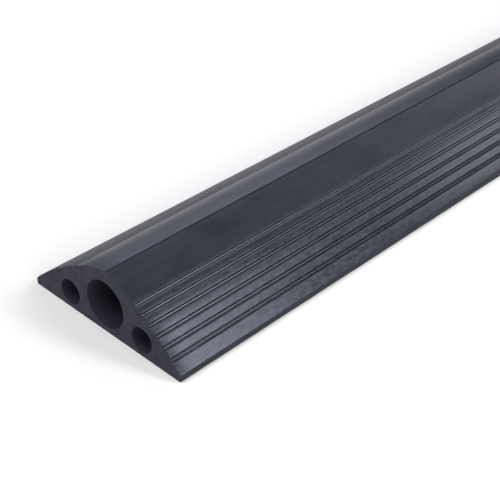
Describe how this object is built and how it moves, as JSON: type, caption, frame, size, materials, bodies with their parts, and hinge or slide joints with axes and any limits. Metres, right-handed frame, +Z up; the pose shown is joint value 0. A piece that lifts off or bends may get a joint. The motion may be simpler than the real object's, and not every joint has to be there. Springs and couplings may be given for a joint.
{
  "type": "floor cable protector",
  "caption": "Straight domed rubber strip that lies on the floor over cables, with round lengthwise channels and grooved sloping flanks.",
  "frame": {"origin": "middle of the flat base, on the floor", "axes": "+X along the strip's length, +Y across its width, +Z up from the floor"},
  "size_m": [1, 0.12, 0.041],
  "materials": {
    "black_rubber": "satin"
  },
  "bodies": {
    "root": {"protector_strip": "black_rubber"}
  },
  "joints": []
}
